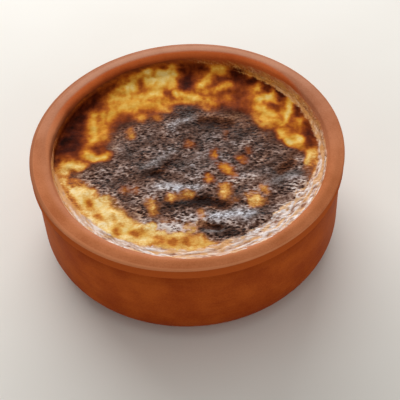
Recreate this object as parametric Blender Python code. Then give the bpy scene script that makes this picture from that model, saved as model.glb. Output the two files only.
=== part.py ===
"""Baked rice pudding in the terracotta bowl that it was baked in.

A turned, unglazed clay bowl with a broad rounded rim and a shallow collar, filled to
5 mm under the rim by a pudding whose skin has wrinkled, blistered and charred.
Metres, +Z up, the origin at the middle of the bowl's flat foot. The skin's pattern is
laid out as it is seen from -Y.
"""

import math

import bpy
from mathutils import Vector, noise

# The bowl's outside.
RIM_RADIUS = 0.0620  # outer edge of the rim
RIM_HEIGHT = 0.0455  # outer edge of the rim above the foot
RIM_CROWN = 0.0004  # how far the rim's top stands above its outer edge
COLLAR_HEIGHT = 0.0056  # the band under the rim's outer edge
COLLAR_RADIUS = 0.0618  # bead at the band's lower edge
COLLAR_HOLLOW = 0.0004  # how far the band is hollowed between its edges
WALL_RADIUS = 0.0605  # body under the collar
WALL_TAPER = 0.0006  # radius lost from the collar to the foot's corner
FOOT_CORNER = 0.0130  # radius of the corner between wall and foot

# The bowl's inside.
LIP_START = 0.0573  # radius at which the rim's top starts to round inwards
LIP_RADIUS = 0.0024  # rounding between the rim's top and the shoulder
SHOULDER_SLOPE = math.radians(25)  # lean of the shoulder inside the lip
SHOULDER_DEPTH = 0.0054  # the steeper wall starts this far under the rim's edge
INNER_TAPER = 0.0008  # radius lost from the shoulder to the floor's corner
INNER_SHIFT = 0.0009  # the inside sits this far to +X of the outside
FLOOR_HEIGHT = 0.0065  # inside floor above the foot
FLOOR_CORNER = 0.0100  # radius between the inner wall and the floor

# The pudding.
FIT_GAP = 0.0003  # between the pudding and the clay
SKIN_LEVEL = 0.0403  # mean height of the skin
SKIN_LIMIT = 0.0414  # no part of the skin stands higher
MENISCUS_RISE = 0.0005  # the skin's lift where it meets the wall
MENISCUS_WIDTH = 0.0020
CHAR_LIFT = 0.0003  # the charred crust stands above the milky skin by this
WRINKLE_HEIGHT = 0.00035
WRINKLE_SPACING = 0.0045
SWELL_HEIGHT = 0.00025
SWELL_SPACING = 0.0160

BOWL_SIDES = 72
SKIN_RINGS = 24  # ring number n of the skin has 6 n points
MM = 0.001

# Ridges and furrows of the charred skin, in millimetres as seen from above:
# x and y of each end, height (a furrow's is negative) and half width.
FOLDS = (
    (-9, 20, 3, 23, 0.8, 2.6),
    (-18, -3, -5, 7, 0.7, 2.8),
    (-14, -15, 8, -16, 0.6, 3.0),
    (12, -31, 25, -33, 0.8, 2.6),
    (33, -14, 43, -17, 0.7, 2.6),
    (-10, -37, -2, -36, 0.6, 2.2),
    (4, -40, 9, -40, 0.6, 2.0),
    (20, 20, 30, 6, 0.5, 3.0),
    (7, 22, 15, 17, -0.7, 2.4),
    (-15, -6, -3, 0, -0.7, 2.2),
    (2, -21, 13, -29, -0.6, 2.4),
    (36, -5, 39, -10, -0.7, 2.4),
    (31, -22, 37, -20, -0.6, 2.4),
    (3, -37, 9, -37, -0.7, 2.2),
    (-30, 10, -24, -6, -0.5, 3.0),
)

# The charred crust's extent: x, y and radii of overlapping ovals, in millimetres.
CHAR_OVALS = (
    (-8, 6, 32, 20),
    (24, 4, 22, 28),
    (14, -24, 24, 18),
    (-14, -16, 20, 14),
    (-36, 0, 12, 7),
)


def arc(centre_r, centre_z, radius, start_deg, end_deg, steps):
    """Points (r, z) on an arc, its angles measured from +r towards +z."""
    points = []
    for step in range(steps + 1):
        angle = math.radians(start_deg + (end_deg - start_deg) * step / steps)
        point = (centre_r + radius * math.cos(angle), centre_z + radius * math.sin(angle))
        points.append(point)
    return points


def outer_profile():
    """The bowl's outside from the foot's middle to the top of the rim."""
    foot_wall = WALL_RADIUS - WALL_TAPER
    collar_low = RIM_HEIGHT - COLLAR_HEIGHT
    bead = 0.0005  # rounding of the collar's lower edge
    edge = 0.0004  # rounding of the rim's outer edge
    profile = [(0.0, 0.0)]
    profile += arc(foot_wall - FOOT_CORNER, FOOT_CORNER, FOOT_CORNER, -90, 0, 8)
    profile += [
        (WALL_RADIUS, collar_low - 0.0035),
        (WALL_RADIUS - 0.0002, collar_low - 0.0012),
        (WALL_RADIUS + 0.0004, collar_low - 0.0004),
    ]
    profile += arc(COLLAR_RADIUS - bead, collar_low + bead, bead, -45, 30, 2)
    profile += [
        (COLLAR_RADIUS - COLLAR_HOLLOW, collar_low + 0.45 * COLLAR_HEIGHT),
        (COLLAR_RADIUS - 0.5 * COLLAR_HOLLOW, collar_low + 0.75 * COLLAR_HEIGHT),
    ]
    profile += arc(RIM_RADIUS - edge, RIM_HEIGHT - edge, edge, -10, 80, 3)
    return profile


def rim_profile():
    """The rim's slightly crowned top and its rounded lip, down to the shoulder."""
    lip_z = RIM_HEIGHT + 0.5 * RIM_CROWN - LIP_RADIUS
    crown_r = 0.5 * (LIP_START + RIM_RADIUS)
    lip = arc(LIP_START, lip_z, LIP_RADIUS, 95, 180 - math.degrees(SHOULDER_SLOPE), 5)
    return [(crown_r, RIM_HEIGHT + RIM_CROWN)] + lip


def inner_wall_radius(z):
    """Radius of the inner wall at a height between the floor's corner and the lip."""
    top_r, top_z = rim_profile()[-1]
    knee_z = RIM_HEIGHT - SHOULDER_DEPTH
    if z >= knee_z:
        return top_r - (top_z - z) * math.tan(SHOULDER_SLOPE)
    low_z = FLOOR_HEIGHT + FLOOR_CORNER
    share = (knee_z - z) / (knee_z - low_z)
    return inner_wall_radius(knee_z) - INNER_TAPER * share


def inner_profile(inset):
    """The inside from the shoulder's foot to the middle of the floor, moved in by inset."""
    knee_z = RIM_HEIGHT - SHOULDER_DEPTH
    corner_z = FLOOR_HEIGHT + FLOOR_CORNER
    corner_r = inner_wall_radius(corner_z) - FLOOR_CORNER
    corner = arc(corner_r, corner_z, FLOOR_CORNER - inset, 0, -90, 6)
    return [(inner_wall_radius(knee_z) - inset, knee_z)] + corner + [(0.0, FLOOR_HEIGHT + inset)]


def ring_of(count, radius, z, shift):
    """Points of a level ring whose middle lies at (shift, 0)."""
    turns = [2 * math.pi * i / count for i in range(count)]
    return [(shift + radius * math.cos(t), radius * math.sin(t), z) for t in turns]


def join_rings(faces, upper, lower):
    """Quads between two rings of equal length, facing out when upper lies above lower."""
    count = len(upper)
    for i in range(count):
        j = (i + 1) % count
        faces.append((upper[i], lower[i], lower[j], upper[j]))


def make_object(name, points, faces, material):
    mesh = bpy.data.meshes.new(name)
    mesh.from_pydata(points, [], faces)
    mesh.materials.append(material)
    mesh.shade_smooth()
    mesh.set_sharp_from_angle(angle=math.radians(40))
    mesh.update()
    obj = bpy.data.objects.new(name, mesh)
    bpy.context.scene.collection.objects.link(obj)
    return obj


def make_material(name, colour, roughness):
    material = bpy.data.materials.new(name)
    material.use_nodes = True
    shader = material.node_tree.nodes["Principled BSDF"]
    shader.inputs["Base Color"].default_value = (*colour, 1.0)
    shader.inputs["Roughness"].default_value = roughness
    shader.inputs["Metallic"].default_value = 0.0
    return material


def terracotta():
    return make_material("terracotta", (0.42, 0.13, 0.055), 0.75)


def baked_milk():
    return make_material("baked_milk", (0.16, 0.07, 0.03), 0.45)


def make_bowl():
    """One closed shell: outside, rim and inside are rings joined from the foot round."""
    outside = [(r, z, 0.0) for r, z in outer_profile()]
    rim = rim_profile()
    inside = inner_profile(0.0)
    steps = len(rim)
    turned = outside
    turned += [(r, z, INNER_SHIFT * (i + 1) / steps) for i, (r, z) in enumerate(rim)]
    turned += [(r, z, INNER_SHIFT) for r, z in inside]
    points = []
    rings = []
    for r, z, shift in turned:
        count = BOWL_SIDES if r > 0 else 1
        rings.append(range(len(points), len(points) + count))
        points += ring_of(count, r, z, shift)
    faces = []
    for lower, upper in zip(rings[1:-2], rings[2:-1]):
        join_rings(faces, upper, lower)
    for i in range(BOWL_SIDES):
        j = (i + 1) % BOWL_SIDES
        faces.append((rings[0][0], rings[1][j], rings[1][i]))
        faces.append((rings[-1][0], rings[-2][i], rings[-2][j]))
    return make_object("bowl", points, faces, terracotta())


def smooth_step(value):
    value = min(max(value, 0.0), 1.0)
    return value * value * (3 - 2 * value)


def char_cover(x, y):
    """1 on the charred crust and 0 outside it, with a ragged edge; x and y in metres."""
    ragged = 0.25 * noise.noise(Vector((x, y, 0.0)) / (7 * MM))
    reach = 0.0
    for cx, cy, rx, ry in CHAR_OVALS:
        away = math.hypot((x / MM - cx) / rx, (y / MM - cy) / ry)
        reach = max(reach, 1 - away)
    return smooth_step(0.5 + 6 * (reach + ragged))


def fold_height(x, y):
    """Sum of the ridges and furrows at a point; x and y in metres."""
    px, py = x / MM, y / MM
    total = 0.0
    for x0, y0, x1, y1, height, width in FOLDS:
        run = (x1 - x0) ** 2 + (y1 - y0) ** 2
        along = ((px - x0) * (x1 - x0) + (py - y0) * (y1 - y0)) / run
        along = min(max(along, 0.0), 1.0)
        away = math.hypot(px - x0 - along * (x1 - x0), py - y0 - along * (y1 - y0))
        total += height * MM * math.exp(-((away / width) ** 2))
    return total


def skin_edge_radius():
    return inner_wall_radius(SKIN_LEVEL + MENISCUS_RISE) - FIT_GAP


def skin_height(x, y):
    """Height of the pudding's skin above the foot; x and y in metres."""
    from_middle = math.hypot(x - INNER_SHIFT, y)
    to_wall = skin_edge_radius() - from_middle
    inland = smooth_step(to_wall / (4 * MM))
    z = SKIN_LEVEL + MENISCUS_RISE * math.exp(-to_wall / MENISCUS_WIDTH)
    z += SWELL_HEIGHT * inland * noise.noise(Vector((x, y, 0.011)) / SWELL_SPACING)
    cover = char_cover(x, y) * inland
    wrinkle = noise.noise(Vector((x, y, 0.023)) / WRINKLE_SPACING)
    z += cover * (CHAR_LIFT + WRINKLE_HEIGHT * wrinkle + fold_height(x, y))
    return min(z, SKIN_LIMIT)


def skin_rings():
    """Points of the skin in rings of 0, 6, 12 ... points out to the wall."""
    rings = [[(INNER_SHIFT, 0.0, skin_height(INNER_SHIFT, 0.0))]]
    for n in range(1, SKIN_RINGS + 1):
        flat = ring_of(6 * n, skin_edge_radius() * n / SKIN_RINGS, 0.0, INNER_SHIFT)
        rings.append([(x, y, skin_height(x, y)) for x, y, _ in flat])
    return rings


def join_skin(faces, starts):
    """Triangles between each ring of 6 n points and the next, sector by sector."""
    for n in range(SKIN_RINGS):
        inner_count = max(6 * n, 1)
        outer_count = 6 * (n + 1)
        for sector in range(6):
            for i in range(n + 1):
                a = starts[n] + (sector * n + i) % inner_count
                b = starts[n + 1] + sector * (n + 1) + i
                c = starts[n + 1] + (sector * (n + 1) + i + 1) % outer_count
                faces.append((a, b, c))
                if i < n:
                    d = starts[n] + (sector * n + i + 1) % inner_count
                    faces.append((a, c, d))


def make_pudding():
    """The skin's relief on a body that follows the inner wall and floor."""
    points = []
    starts = []
    for ring in skin_rings():
        starts.append(len(points))
        points += ring
    faces = []
    join_skin(faces, starts)
    count = 6 * SKIN_RINGS
    upper = range(starts[-1], starts[-1] + count)
    for r, z in inner_profile(FIT_GAP)[:-1]:
        lower = range(len(points), len(points) + count)
        points += ring_of(count, r, z, INNER_SHIFT)
        join_rings(faces, upper, lower)
        upper = lower
    faces.append(tuple(reversed(upper)))
    return make_object("pudding", points, faces, baked_milk())


def main():
    for obj in list(bpy.data.objects):
        bpy.data.objects.remove(obj)
    make_bowl()
    make_pudding()


main()
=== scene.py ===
import math

import bpy
import numpy as np
from mathutils import Matrix, Vector, noise


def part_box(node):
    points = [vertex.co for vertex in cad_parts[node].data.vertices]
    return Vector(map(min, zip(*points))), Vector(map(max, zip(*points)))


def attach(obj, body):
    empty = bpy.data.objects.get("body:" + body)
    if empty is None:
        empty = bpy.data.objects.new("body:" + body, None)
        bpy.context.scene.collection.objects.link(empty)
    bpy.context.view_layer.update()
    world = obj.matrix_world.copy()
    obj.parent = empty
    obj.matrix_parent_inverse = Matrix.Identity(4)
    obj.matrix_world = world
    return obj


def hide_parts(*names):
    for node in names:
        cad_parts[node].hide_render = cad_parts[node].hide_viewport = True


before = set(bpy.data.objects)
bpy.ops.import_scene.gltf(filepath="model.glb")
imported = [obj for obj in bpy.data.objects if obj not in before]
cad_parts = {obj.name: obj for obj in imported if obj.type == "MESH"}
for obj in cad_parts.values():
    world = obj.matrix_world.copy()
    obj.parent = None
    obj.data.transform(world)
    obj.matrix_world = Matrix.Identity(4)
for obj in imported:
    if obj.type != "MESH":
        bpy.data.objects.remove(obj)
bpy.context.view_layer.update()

# Lengths are in millimetres until a mesh, a node input or a light takes them.
mm = 0.001
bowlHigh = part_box("bowl")[1]


def operator(kind, swapped=False):
    def apply(self, other):
        pair = (other, self) if swapped else (self, other)
        return self.math(kind, *pair)

    return apply


# Numbers on node sockets, written as sums.
class Level:
    def __init__(self, graph, socket):
        self.graph = graph
        self.socket = socket

    def math(self, kind, *values):
        return self.graph.node("ShaderNodeMath", {"operation": kind}, values or [self])

    __add__, __radd__ = operator("ADD"), operator("ADD", True)
    __sub__, __rsub__ = operator("SUBTRACT"), operator("SUBTRACT", True)
    __mul__, __rmul__ = operator("MULTIPLY"), operator("MULTIPLY", True)
    __truediv__ = operator("DIVIDE")
    __mod__ = operator("FLOORED_MODULO")

    def step(self, low, high):  # 0 below low, 1 above high, smooth between
        settings = {"interpolation_type": "SMOOTHSTEP"}
        inputs = {"Value": self, "From Min": low, "From Max": high}
        if low > high:
            inputs = {"Value": self * -1.0, "From Min": -low, "From Max": -high}
        return self.graph.node("ShaderNodeMapRange", settings, inputs)

    def output(self, name):  # another output of the same node
        return Level(self.graph, self.socket.node.outputs[name])


# A shader or geometry tree, whose nodes all come from one method.
class Graph:
    def __init__(self, tree):
        self.tree = tree

    def node(self, kind, settings=None, inputs=None, output=0):
        made = self.tree.nodes.new(kind)
        for name, value in (settings or {}).items():
            if name == "stops":
                self.setStops(made.color_ramp, value)
            else:
                setattr(made, name, value)
        named = inputs.items() if isinstance(inputs, dict) else enumerate(inputs or ())
        for key, value in named:
            self.feed(self.findSocket(made.inputs, key), value)
        return Level(self, self.findSocket(made.outputs, output))

    def findSocket(self, sockets, key):
        if isinstance(key, int):
            return [s for s in sockets if s.enabled][key]
        return next(s for s in sockets if s.enabled and s.name == key)

    def feed(self, socket, value):
        if isinstance(value, Level):
            self.tree.links.new(value.socket, socket)
        elif value is not None:
            socket.default_value = value

    def setStops(self, ramp, stops):
        while len(ramp.elements) < len(stops):
            ramp.elements.new(0.5)
        for element, (place, *colour) in zip(ramp.elements, stops):
            element.position = place
            element.color = (*srgb(*colour), 1.0)

    def blend(self, share, first, second):
        colours = [c if isinstance(c, Level) else (*srgb(*c), 1.0) for c in (first, second)]
        inputs = {"Factor": share, "A": colours[0], "B": colours[1]}
        return self.node("ShaderNodeMix", {"data_type": "RGBA"}, inputs)

    def layered(self, colour, layers):  # each layer is a share and the colour that it adds
        for share, above in layers:
            colour = self.blend(share, colour, above)
        return colour

    def ramp(self, level, stops):
        return self.node("ShaderNodeValToRGB", {"stops": stops}, [level])

    def vector(self, operation, first, second):
        return self.node("ShaderNodeVectorMath", {"operation": operation}, [first, second])

    def split(self, vector, axis):
        return self.node("ShaderNodeSeparateXYZ", None, [vector], axis)

    def join(self, x, y, z):
        return self.node("ShaderNodeCombineXYZ", None, [x, y, z])

    def noise(self, place, scale, detail, rough=0.5, output=0):  # from 0 to 1
        inputs = {"Vector": place, "Scale": scale, "Detail": detail, "Roughness": rough}
        return self.node("ShaderNodeTexNoise", None, inputs, output)


class Paint(Graph):
    def __init__(self, name, settings):
        self.material = bpy.data.materials.new(name)
        self.material.use_nodes = True
        super().__init__(self.material.node_tree)
        self.shader = self.tree.nodes["Principled BSDF"]
        self.place = self.node("ShaderNodeTexCoord", output="Object")
        for socket, value in settings.items():
            self.shader.inputs[socket].default_value = value

    def axis(self, name):  # X, Y or Z of the place, in millimetres
        return self.split(self.place, name) / mm

    def attribute(self, name):
        return self.node("ShaderNodeAttribute", {"attribute_name": name}, output="Fac")

    def grain(self, spacing, detail=2.0, stretch=(1.0, 1.0, 1.0), rough=0.5):
        # noise around 0, from -1 to 1; a larger stretch makes longer marks
        scale = tuple(1.0 / (spacing * mm * s) for s in stretch)
        place = self.vector("MULTIPLY", self.place, scale)
        return 2.0 * self.noise(place, 1.0, detail, rough) - 1.0

    def finish(self, **links):
        sockets = {"colour": "Base Color", "roughness": "Roughness", "coat": "Coat Weight"}
        sockets["normal"] = "Normal"
        for name, value in links.items():
            self.feed(self.shader.inputs[sockets[name]], value)
        return self.material

    def bump(self, height, depth, below=None):  # height from -1 to 1, depth in millimetres
        inputs = {"Strength": 1.0, "Distance": depth * mm, "Height": height, "Normal": below}
        return self.node("ShaderNodeBump", None, inputs)


def srgb(red, green, blue):  # linear colour from 0 to 255 values
    values = [c / 255 for c in (red, green, blue)]
    return tuple(v / 12.92 if v < 0.04045 else ((v + 0.055) / 1.055) ** 2.4 for v in values)


# Meshes.
def newObject(name, points, faces, material):
    mesh = bpy.data.meshes.new(name)
    mesh.from_pydata((np.asarray(points) * mm).tolist(), [], faces)
    if material:
        mesh.materials.append(material)
    mesh.shade_smooth()
    mesh.update()
    made = bpy.data.objects.new(name, mesh)
    bpy.context.scene.collection.objects.link(made)
    return made


def bandFaces(first, second, count):  # four-sided faces between two rings of points
    ends = [(i, (i + 1) % count) for i in range(count)]
    return [(first + i, second + i, second + j, first + j) for i, j in ends]


def storeLevels(obj, **levels):
    for name, values in levels.items():
        layer = obj.data.attributes.new(name, "FLOAT", "POINT")
        layer.data.foreach_set("value", np.asarray(values, dtype=np.float32))


def signedVolume(mesh):
    mesh.calc_loop_triangles()
    corners = np.empty(len(mesh.loop_triangles) * 3, dtype=np.int32)
    mesh.loop_triangles.foreach_get("vertices", corners)
    points = np.empty(len(mesh.vertices) * 3)
    mesh.vertices.foreach_get("co", points)
    a, b, c = points.reshape(-1, 3)[corners.reshape(-1, 3)].transpose(1, 0, 2)
    return np.einsum("ij,ij->i", a, np.cross(b, c)).sum() / 6


def geometryTree(name, sockets):
    tree = bpy.data.node_groups.new(name, "GeometryNodeTree")
    graph = Graph(tree)
    for socketName, kind in sockets:
        tree.interface.new_socket(socketName, in_out="INPUT", socket_type="NodeSocket" + kind)
    tree.interface.new_socket("Geometry", in_out="OUTPUT", socket_type="NodeSocketGeometry")
    entry = graph.node("NodeGroupInput")
    return graph, {socketName: entry.output(socketName) for socketName, kind in sockets}


def endTree(graph, geometry, material):
    whole = graph.node("GeometryNodeRealizeInstances", None, [geometry])
    smooth = graph.node("GeometryNodeSetShadeSmooth", None, {"Geometry": whole})
    painted = graph.node("GeometryNodeSetMaterial", None, {"Geometry": smooth, "Material": material})
    graph.feed(graph.tree.nodes.new("NodeGroupOutput").inputs[0], painted)


def growMesh(obj, graph, values):
    # runs the tree on obj and keeps its result as a plain mesh facing outwards
    modifier = obj.modifiers.new("grow", "NODES")
    modifier.node_group = graph.tree
    for item in graph.tree.interface.items_tree:
        if item.in_out == "INPUT" and item.name in values:
            modifier[item.identifier] = values[item.name]
    evaluated = obj.evaluated_get(bpy.context.evaluated_depsgraph_get())
    mesh = bpy.data.meshes.new_from_object(evaluated)
    obj.modifiers.remove(modifier)
    if signedVolume(mesh) < 0:
        mesh.flip_normals()
    mesh.name = obj.name
    obj.data = mesh
    return obj


# Camera, light and floor.
view = {
    "height": 45.13,  # degrees above the horizon
    "distance": 496.0,
    "pan": 0.46,  # degrees that the lens turns right, up and round from the rim's middle
    "tilt": -2.42,
    "roll": -3.88,
    "angle": 18.02,
}
light = {
    "back": 14.0,  # watts
    "backSize": (1.3, 0.4),
    "backPlace": (-0.15, 0.95, 0.45),
    "top": 3.2,
    "topSize": (1.2, 1.2),
    "topPlace": (0.0, 0.2, 1.2),
    "front": 2.4,
    "frontSize": (1.8, 0.9),
    "frontPlace": (0.2, -0.75, 0.7),
    "sky": 0.27,
}


def placeCamera():
    rise = math.radians(view["height"])
    data = bpy.data.cameras.new("view")
    data.angle = math.radians(view["angle"])
    camera = bpy.data.objects.new("view", data)
    bpy.context.scene.collection.objects.link(camera)
    away = Vector((0.0, -math.cos(rise), math.sin(rise))) * view["distance"] * mm
    turn = Matrix.Rotation(math.pi / 2 - rise, 4, "X")
    for axis, degrees in (("Y", -view["pan"]), ("X", view["tilt"]), ("Z", view["roll"])):
        turn = turn @ Matrix.Rotation(math.radians(degrees), 4, axis)
    rimHeight = bowlHigh.z - 0.4 * mm
    camera.matrix_world = Matrix.Translation(away + Vector((0, 0, rimHeight))) @ turn
    bpy.context.scene.camera = camera


def addLamp(name, power, size, place):
    data = bpy.data.lights.new(name, "AREA")
    data.shape = "RECTANGLE"
    data.size, data.size_y = size
    data.energy = power
    lamp = bpy.data.objects.new(name, data)
    lamp.location = place
    lamp.rotation_euler = (-Vector(place)).to_track_quat("-Z", "Y").to_euler()
    bpy.context.scene.collection.objects.link(lamp)


def placeLights():
    for name in ("back", "top", "front"):
        addLamp(name, light[name], light[name + "Size"], light[name + "Place"])
    world = bpy.data.worlds.new("paleRoom")
    world.use_nodes = True
    background = world.node_tree.nodes["Background"]
    background.inputs["Color"].default_value = (1.0, 0.985, 0.96, 1.0)
    background.inputs["Strength"].default_value = light["sky"]
    bpy.context.scene.world = world
    bpy.context.scene.view_settings.view_transform = "Standard"


def placeFloor():
    paint = Paint("paleFloor", {"Roughness": 0.6})
    tone = paint.grain(60.0).step(-1.0, 1.0)
    colour = paint.blend(tone, (226, 222, 214), (232, 229, 222))
    half = 4000.0
    corners = [(-half, -half, 0), (half, -half, 0), (half, half, 0), (-half, half, 0)]
    floor = newObject("floor", corners, [(0, 1, 2, 3)], paint.finish(colour=colour))


# The bowl.
bowl = {
    "rimHeight": 45.5,  # outer edge above the foot
    "rimTop": 45.85,
    "rimFall": 0.06,  # from the inner edge of the flat rim to its outer one
    "rimEdge": 0.6,
    "collarHeight": 5.6,
    "collarRadius": 61.75,
    "collarBead": 0.5,
    "collarHollow": 0.55,
    "grooveStart": 3.5,  # a shallow groove under the collar: how far out and up its points are
    "groove": [(-0.1, -2.4), (-0.3, -1.3), (-0.3, -0.6), (0.1, -0.15)],
    "wallRadius": 60.5,
    "wallTaper": 0.6,
    "footCorner": 13.0,
    "lipStart": 59.6,  # the flat rim ends here and rounds over to the inner wall
    "lipWidth": 4.6,
    "lipDrop": 1.9,
    "lipTurn": 72.0,  # degrees
    "shoulderSlope": 25.0,
    "shoulderDepth": 5.4,
    "innerTaper": 0.8,
    "innerShift": 0.9,
    "floorHeight": 6.5,
    "floorCorner": 10.0,
    "sides": 320,
    "wobble": 0.12,
    "wobbleUp": 14.0,  # how fast the wobble changes with the height, per metre
    "turningMarks": 0.05,
    "marksUp": 620.0,
    "wornDrop": 1.3,  # the rim slopes down to a worn edge at the sides and in front
    "wornIn": 0.2,
    "wornRadius": (57.2, 64.0),
    "wornHeight": (42.0, 44.6),
    "frontTurn": (0.35, -0.5),  # sine of the turn round the bowl, from the sides to the front
}
collarFoot = bowl["rimHeight"] - bowl["collarHeight"]
kneeHeight = bowl["rimHeight"] - bowl["shoulderDepth"]  # where the shoulder meets the inner wall
cornerHeight = bowl["floorHeight"] + bowl["floorCorner"]


def arcPoints(centreR, centreZ, radius, start, end, steps):
    turns = np.radians(np.linspace(start, end, steps + 1))
    return [(centreR + radius * math.cos(t), centreZ + radius * math.sin(t)) for t in turns]


def linePoints(start, end, steps):  # without its first point
    shares = np.linspace(0, 1, steps + 1)[1:]
    return [(start[0] + s * (end[0] - start[0]), start[1] + s * (end[1] - start[1])) for s in shares]


def bowlOutside():
    b = bowl
    footFlat = b["wallRadius"] - b["wallTaper"] - b["footCorner"]
    points = [(0.0, 0.0)] + linePoints((0.0, 0.0), (footFlat, 0.0), 6)[:-1]
    points += arcPoints(footFlat, b["footCorner"], b["footCorner"], -90, 0, 14)
    points += linePoints(points[-1], (b["wallRadius"], collarFoot - b["grooveStart"]), 26)
    points += [(b["wallRadius"] + out, collarFoot + up) for out, up in b["groove"]]
    bead = b["collarBead"]
    points += arcPoints(b["collarRadius"] - bead, collarFoot + bead, bead, -60, 20, 5)
    for share in np.linspace(-0.8, 0.85, 9):
        dip = b["collarHollow"] * (1 - share * share)
        points.append((b["collarRadius"] - dip, collarFoot + (0.55 + 0.42 * share) * b["collarHeight"]))
    return points


def bowlRim():
    b = bowl
    outer = bowlHigh.x / mm - b["rimEdge"]
    edgeTop = b["rimTop"] - b["rimFall"]
    points = arcPoints(outer, edgeTop - b["rimEdge"], b["rimEdge"], -15, 80, 7)
    for share in (0.3, 0.6, 1.0):
        r = outer + share * (b["lipStart"] - outer)
        points.append((r, edgeTop + b["rimFall"] * (2 - share) * share))
    lipZ = b["rimTop"] - b["lipDrop"]
    for t in np.radians(np.linspace(0, b["lipTurn"], 19)[1:]):
        points.append((b["lipStart"] - b["lipWidth"] * math.sin(t), lipZ + b["lipDrop"] * math.cos(t)))
    return points


def innerWallRadius(z):
    topR, topZ = bowlRim()[-1]
    shoulder = topR - (topZ - max(z, kneeHeight)) * math.tan(math.radians(bowl["shoulderSlope"]))
    down = (kneeHeight - min(z, kneeHeight)) / (kneeHeight - cornerHeight)
    return shoulder - bowl["innerTaper"] * min(down, 1)


kneeRadius = innerWallRadius(kneeHeight)
cornerRadius = innerWallRadius(cornerHeight) - bowl["floorCorner"]


def bowlInside():
    b = bowl
    points = linePoints(bowlRim()[-1], (kneeRadius, kneeHeight), 16)
    points += linePoints(points[-1], (cornerRadius + b["floorCorner"], cornerHeight), 8)
    points += arcPoints(cornerRadius, cornerHeight, b["floorCorner"], -8, -90, 8)
    points += linePoints(points[-1], (0.0, b["floorHeight"]), 6)
    return points


def turningTree():
    # each point of the profile is (radius, sideways shift, height)
    sockets = [("Geometry", "Geometry"), ("Sides", "Int"), ("Wobble", "Float")]
    sockets += [("Marks", "Float"), ("Worn Down", "Float"), ("Worn In", "Float"), ("Clay", "Material")]
    graph, given = geometryTree("turned bowl", sockets)
    rows = graph.node("GeometryNodeAttributeDomainSize", None, [given["Geometry"]])
    size = {"Vertices X": given["Sides"] + 1.0, "Vertices Y": rows}
    grid = graph.node("GeometryNodeMeshGrid", None, size)
    index = graph.node("GeometryNodeInputIndex")
    column = (index / rows + 1e-5).math("FLOOR")
    position = graph.node("GeometryNodeInputPosition")
    settings = {"data_type": "FLOAT_VECTOR", "domain": "POINT"}
    inputs = {"Geometry": given["Geometry"], "Value": position, "Index": index % rows}
    profile = graph.node("GeometryNodeSampleIndex", settings, inputs)
    radius, shift, height = (graph.split(profile, axis) for axis in "XYZ")
    turn = column / given["Sides"] * (2 * math.pi)
    across, along = turn.math("COSINE"), turn.math("SINE")
    # slow wobble round the bowl, and faint level marks left by the wheel
    around = graph.join(across, along, height * bowl["wobbleUp"])
    slow = graph.noise(around, 1.1, 0.0)
    streak = graph.join(across * 0.9, along * 0.9, height * bowl["marksUp"])
    mark = graph.noise(streak, 1.0, 2.0)
    moved = radius + (slow - 0.5) * given["Wobble"] * radius / (bowlHigh.x / 2)
    moved = moved + (mark - 0.5) * given["Marks"] * radius.step(0.03, 0.05)
    wornRadius, wornHeight = ([v * mm for v in bowl[name]] for name in ("wornRadius", "wornHeight"))
    wearAndEdgeHighlight = along.step(*bowl["frontTurn"]) * radius.step(*wornRadius) * height.step(*wornHeight)
    moved = moved - wearAndEdgeHighlight * given["Worn In"]
    place = graph.join(shift + moved * across, moved * along, height - wearAndEdgeHighlight * given["Worn Down"])
    turned = graph.node("GeometryNodeSetPosition", None, {"Geometry": grid, "Position": place})
    inputs = {"Geometry": turned, "Distance": 0.5e-6}
    closed = graph.node("GeometryNodeMergeByDistance", None, inputs)
    endTree(graph, closed, given["Clay"])
    return graph


def makeBowl():
    outside = [(r, 0.0, z) for r, z in bowlOutside()]
    rim = bowlRim()
    steps = len(rim)
    profile = outside
    profile += [(r, bowl["innerShift"] * (i + 1) / steps, z) for i, (r, z) in enumerate(rim)]
    profile += [(r, bowl["innerShift"], z) for r, z in bowlInside()]
    made = newObject("terracottaBowl", profile, [], None)
    values = {"Sides": bowl["sides"], "Wobble": bowl["wobble"] * mm}
    values.update({"Worn Down": bowl["wornDrop"] * mm, "Worn In": bowl["wornIn"] * mm})
    values.update({"Marks": bowl["turningMarks"] * mm, "Clay": clayPaint()})
    growMesh(made, turningTree(), values)
    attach(made, "root")
    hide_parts("bowl")
    print("bowl:", len(made.data.polygons), "faces")


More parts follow.
